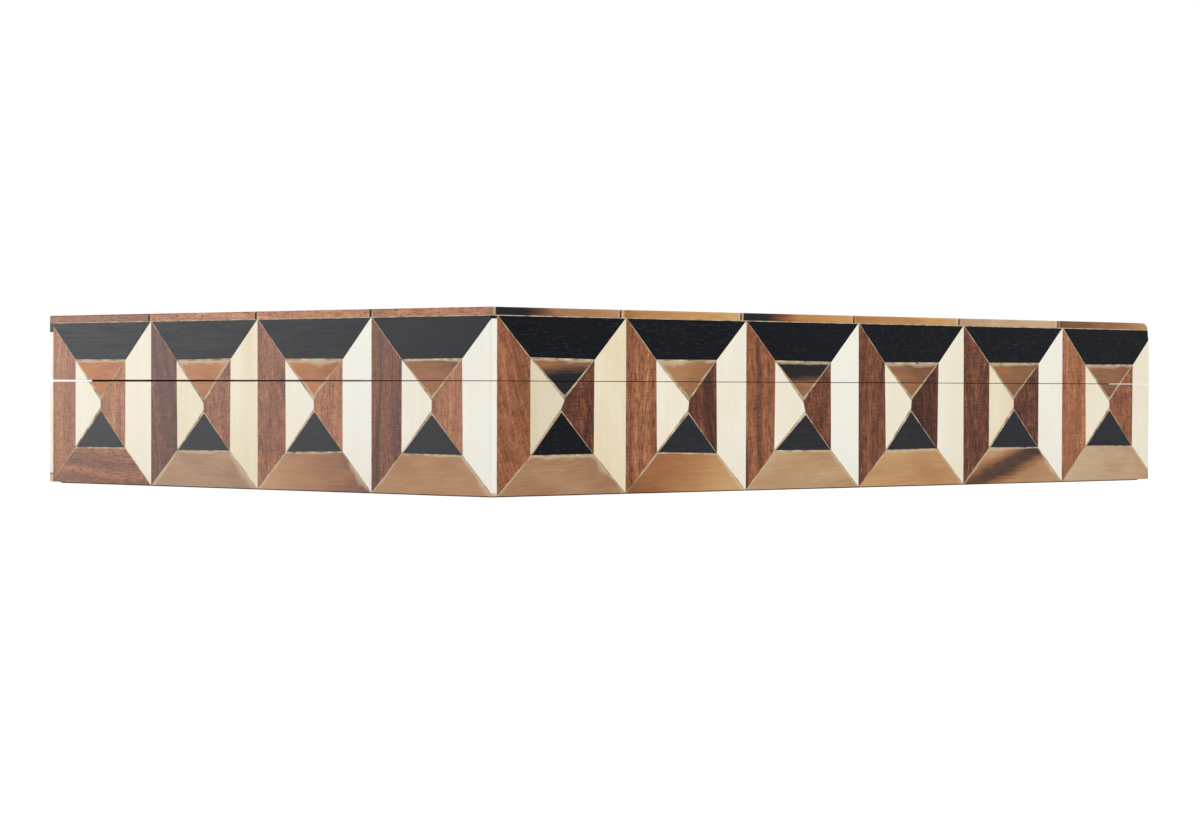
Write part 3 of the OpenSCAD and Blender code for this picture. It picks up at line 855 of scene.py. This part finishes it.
# The maker's choice for the tiles of a row, from left to right, and for the left rim of the top
# from the front to the back
CHOSEN = {
    ("front", "left slip"): ("leaning", "straight", "figured", "russet", "burred", "fair"),
    ("front", "right wedge"): ("plum", "deep", "burred", "dusky", "plum", "mottled"),
    ("front", "bottom slip"): ("pink", "golden", "rosy", "honey", "clouded", "grey"),
    ("front", "top wedge"): ("striped", "brown", "smoked", "umber", "umber", "umber"),
    ("front", "right slip"): ("yellow", "cream", "white", "warm", "white", "warm"),
    ("front", "left wedge"): ("dull", "warm", "cream", "warm", "yellow", "warm"),
    ("front", "top slip"): ("black",) * 6,
    ("front", "bottom wedge"): ("black", "worn", "worn", "worn", "worn", "worn"),
    ("left", "left slip"): ("fair", "stained", "mottled", "dark"),
    ("left", "right wedge"): ("fair", "mottled", "fair", "fair"),
    ("left", "bottom slip"): ("straight", "pink", "turning", "tan"),
    ("left", "top wedge"): ("orange", "tawny", "tawny", "treacle"),
    ("left", "top slip"): ("sooty",) * 4,
    ("left", "bottom wedge"): ("worn",) * 4,
    ("left", "right slip"): ("warm", "yellow", "white", "white"),
    ("left", "left wedge"): ("warm", "yellow", "cream", "cream"),
    ("top", "bottom slip"): ("burnt", "amber", "burnt amber", "amber", "pale", "ruddy"),
    ("top", "left slip"): ("pale", "pale", "pale", "straight"),
}

# Half the width of a tile, over which horn may darken, and a place clear of any dark streak
HALF_TILE = 25 * MM
CLEAR_OF_STREAK = 9

# How far a piece's grain turns by chance, in degrees, and how far along a log it may come from
GRAIN_TURN = 2
GRAIN_SHIFT = 2


def look_of(face, wood, tile, part):
    """The chosen look of a piece, or one by chance where nobody chose."""
    chosen = CHOSEN.get((face, part), ())
    place, row = tile
    if (face, part) == ("top", "left slip"):
        row, place = tile
    if row == 0 and place < len(chosen):
        return CHOICES[wood][chosen[place]]
    names = sorted(CHOICES[wood])
    return CHOICES[wood][chance(face, wood, tile, part, "look").choice(names)]


def tones_at(wood, look, here):
    """The four tones of a piece at a place measured from its tile's middle."""
    if wood in ("rosewood", "bone"):
        return look[0], look[1], look[2], 1
    if wood == "ebony":
        return look[0], 0, 0, 1
    dark, amber, (right, up), streak, _ = look
    across, strength = CLEAR_OF_STREAK, 0
    if streak:
        degrees, place, half, strength = streak
        angle = math.radians(degrees)
        across = here.x * math.cos(angle) + here.y * math.sin(angle) - place * MM
        across /= half * MM
    return dark + (right * here.x + up * here.y) / HALF_TILE, across, amber, strength


def mark_pieces(bm, face, wood):
    """Gives every corner of every piece its place in the grain, its tones, its distance from the
    piece's borders and the share of filler smeared there."""
    _, _, out = FACES[face]
    start, w, h = tile_grid(face)
    grain_layer = bm.verts.layers.float_vector.new("grain")
    tone_layer = bm.verts.layers.float_color.new("tones")
    border_layer = bm.verts.layers.float_vector.new("borders")
    smear_layer = bm.verts.layers.float.new("smear")
    for group in islands(bm):
        tile, part = place_of(face, wood, group)
        look = look_of(face, wood, tile, part)
        luck = chance(face, wood, tile, part, "grain")
        lean = look[3] if wood == "rosewood" else 0
        upright = part in ("left slip", "right slip", "left wedge", "right wedge")
        turn = math.radians(90 * upright + lean + luck.uniform(-GRAIN_TURN, GRAIN_TURN))
        shift = Vector([luck.uniform(-GRAIN_SHIFT, GRAIN_SHIFT) for _ in range(3)])
        middle = start + Vector(((tile[0] + 0.5) * w, (tile[1] + 0.5) * h))
        inner_lines = joint_lines(face, tile, part)[-3:]
        smear = look[4] if wood == "horn" else 0
        for vert in group:
            here = on_face(face, vert.co) - middle
            along = here.x * math.cos(turn) + here.y * math.sin(turn)
            across = here.y * math.cos(turn) - here.x * math.sin(turn)
            vert[grain_layer] = Vector((along, across, vert.co.dot(out))) + shift
            vert[tone_layer] = tones_at(wood, look, here)
            vert[smear_layer] = smear
            vert[border_layer] = [
                (here + middle - line[2]).dot(line[3]) for line in inner_lines
            ]


def dress(obj, node, body):
    """Puts a piece on its body in place of a CAD node."""
    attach(obj, body)
    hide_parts(node)


def inlay(body, face, wood, moves):
    """All the pieces of one wood in one face of the base or the lid."""
    node = f"{body}_{face}_{wood}"
    bm = merged_copy(node)
    bmesh.ops.dissolve_limit(bm, angle_limit=FLAT_ANGLE, verts=bm.verts, edges=bm.edges)
    cut_by_hand(bm, face, wood, moves)
    ease_edges(bm)
    mark_pieces(bm, face, wood)
    dress(mesh_object(f"{node}_pieces", bm, MATERIALS[wood], smooth=False), node, body)


def glue_web(body, moves):
    """The filler between the pieces of the base or the lid."""
    node = f"{body}_glue_lines"
    bm = merged_copy(node)
    follow(bm, moves)
    ease_edges(bm)
    dress(mesh_object(f"{body}_filler", bm, MATERIALS["glue"], smooth=False), node, body)


for body in ("base", "lid"):
    moves = []
    for face in FACES:
        if (body, face) != ("base", "top"):
            for wood in WOODS:
                inlay(body, face, wood, moves)
    glue_web(body, moves)


# ---- Velvet lining and felt ----

def rounded_box(node, rounding, steps):
    """A box the size of a CAD node with rounded edges."""
    low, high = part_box(node)
    bm = bmesh.new()
    bmesh.ops.create_cube(bm, size=1)
    for vert in bm.verts:
        vert.co = Vector([low[i] + (vert.co[i] + 0.5) * (high[i] - low[i]) for i in range(3)])
    bmesh.ops.bevel(
        bm, geom=bm.edges[:], offset=rounding, segments=steps, profile=0.5, affect="EDGES",
        material=-1,
    )
    return bm


# How close together the hollows in cloth over card lie
HOLLOWS_PER_METRE = 90


def uneven(bm, pitch, depth):
    """Cuts a mesh every pitch along X and Y, and sinks its surface a little here and there."""
    low = Vector([min(v.co[i] for v in bm.verts) for i in range(3)])
    high = Vector([max(v.co[i] for v in bm.verts) for i in range(3)])
    for axis in (0, 1):
        for k in range(1, int((high[axis] - low[axis]) / pitch)):
            point, normal = low.copy(), Vector((axis == 0, axis == 1, 0))
            point[axis] += k * pitch
            geom = bm.verts[:] + bm.edges[:] + bm.faces[:]
            bmesh.ops.bisect_plane(
                bm, geom=geom, dist=CUT_TOLERANCE, plane_co=point, plane_no=normal,
            )
    bm.normal_update()
    for vert in bm.verts:
        sunk = 0.5 + 0.5 * noise.noise(vert.co * HOLLOWS_PER_METRE)
        vert.co -= vert.normal * depth * sunk


def velvet_pad(node, body):
    """Card covered with velvet, its edges turned over and its face a little uneven."""
    bm = rounded_box(node, 0.5 * MM, 3)
    uneven(bm, 6 * MM, 0.12 * MM)
    obj = mesh_object(f"{node}_cloth", bm, MATERIALS["velvet"])
    dress(obj, node, body)


def liner_strips():
    """The standing strips round the base, with their rounded lips, under velvet."""
    bm = merged_copy("base_liner_strips")
    uneven(bm, 5 * MM, 0.08 * MM)
    obj = mesh_object("base_liner_cloth", bm, MATERIALS["velvet"])
    dress(obj, "base_liner_strips", "base")


def underside_felt():
    """The felt glued under the floor, on which the box stands."""
    bm = rounded_box("base_underside_felt", 0.3 * MM, 2)
    uneven(bm, 8 * MM, 0.06 * MM)
    obj = mesh_object("base_felt_sheet", bm, MATERIALS["felt"])
    dress(obj, "base_underside_felt", "base")


velvet_pad("base_floor_velvet", "base")
velvet_pad("lid_velvet", "lid")
liner_strips()
underside_felt()


# ---- Carcass and hinges keep their CAD shape ----

def finish_cad_node(node, obj, slot):
    """Gives a CAD node its material, with the grain along a board's longer side."""
    low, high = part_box(node)
    if slot == "walnut" and high.y - low.y > high.x - low.x:
        slot = "side walnut"
    obj.data.materials.clear()
    obj.data.materials.append(MATERIALS[slot])


SLOT_OF = {row["node"]: row["material_slot"] for row in frame["record"]["subparts"]}
for node, obj in frame["nodes"].items():
    if not obj.hide_render:
        finish_cad_node(node, obj, SLOT_OF[node])


# ---- Floor, light and camera ----

def seen_directly(tree):
    """1 where the eye, a mirror or glass looks, and 0 for light that only brightens things."""
    path = add(tree, "ShaderNodeLightPath").outputs
    seen = maths(tree, "ADD", path["Is Camera Ray"], path["Is Glossy Ray"], clamp=True)
    return maths(tree, "ADD", seen, path["Is Transmission Ray"], clamp=True)


def table_material():
    """White to look at, with a soft shadow, and a plain pale table to the light."""
    material = bpy.data.materials.new("white table")
    material.use_nodes = True
    tree = material.node_tree
    tree.nodes.remove(tree.nodes["Principled BSDF"])
    plain = add(tree, "ShaderNodeBsdfDiffuse", {"Color": (0.8, 0.8, 0.8, 1)})
    shaded = add(tree, "ShaderNodeBsdfDiffuse", {"Color": (0.5, 0.5, 0.5, 1)})
    glow = add(tree, "ShaderNodeEmission", {"Color": (1, 1, 1, 1), "Strength": 0.78})
    white = add(tree, "ShaderNodeAddShader", {0: shaded.outputs[0], 1: glow.outputs[0]})
    either = {0: seen_directly(tree), 1: plain.outputs[0], 2: white.outputs[0]}
    mix = add(tree, "ShaderNodeMixShader", either)
    tree.links.new(mix.outputs[0], tree.nodes["Material Output"].inputs["Surface"])
    return material


def table():
    """The table top that the box stands on."""
    bm = bmesh.new()
    bmesh.ops.create_grid(bm, x_segments=8, y_segments=8, size=6)
    mesh_object("table_top", bm, table_material())


def studio_walls():
    """White walls to look at, which give the box only soft light."""
    world = bpy.data.worlds.new("studio")
    bpy.context.scene.world = world
    world.use_nodes = True
    tree = world.node_tree
    white = tree.nodes["Background"]
    white.inputs["Color"].default_value = (1, 1, 1, 1)
    soft = add(tree, "ShaderNodeBackground", {"Color": (1, 1, 1, 1), "Strength": 0.45})
    either = {0: seen_directly(tree), 1: soft.outputs[0], 2: white.outputs[0]}
    mix = add(tree, "ShaderNodeMixShader", either)
    tree.links.new(mix.outputs[0], tree.nodes["World Output"].inputs["Surface"])


def area_light(name, place, target, size, watts):
    """A soft light of a width and height, at place, that shines at target."""
    data = bpy.data.lights.new(name, "AREA")
    data.shape = "RECTANGLE"
    data.size, data.size_y = size
    data.energy = watts
    obj = bpy.data.objects.new(name, data)
    obj.location = place
    obj.rotation_euler = (Vector(target) - Vector(place)).to_track_quat("-Z", "Y").to_euler()
    bpy.context.scene.collection.objects.link(obj)


def camera():
    """The camera stands at the height of the seam, on the diagonal of the near corner."""
    lens_mm, sensor_mm = 106.24, 36.0
    place = Vector((-808.3, -797.9, 29.6)) * MM
    yaw, pitch, roll = math.radians(45.108), math.radians(-0.492), math.radians(0.159)
    level = Vector((math.sin(yaw), math.cos(yaw), 0))
    ahead = level * math.cos(pitch) + Vector((0, 0, math.sin(pitch)))
    side = Vector((math.cos(yaw), -math.sin(yaw), 0))
    above = side.cross(ahead)
    right = side * math.cos(roll) + above * math.sin(roll)
    up = above * math.cos(roll) - side * math.sin(roll)
    data = bpy.data.cameras.new("camera")
    data.sensor_width = sensor_mm
    data.lens = lens_mm
    data.clip_start = 0.05
    data.clip_end = 50
    obj = bpy.data.objects.new("camera", data)
    turn = Matrix((right, up, -ahead)).transposed()
    obj.matrix_world = Matrix.Translation(place) @ turn.to_4x4()
    bpy.context.scene.collection.objects.link(obj)
    bpy.context.scene.camera = obj


table()
studio_walls()
centre = (0, 0, HEIGHT / 2)
area_light("back_left_softbox", (-1.1, 1.7, 0.2), centre, size=(0.9, 0.5), watts=20)
area_light("front_softbox", (-0.5, -1.9, 0.9), centre, size=(1.4, 1.0), watts=18)
area_light("overhead", (0.2, 0.1, 1.8), centre, size=(1.6, 1.2), watts=12)
camera()
bpy.context.scene.view_settings.view_transform = "Standard"
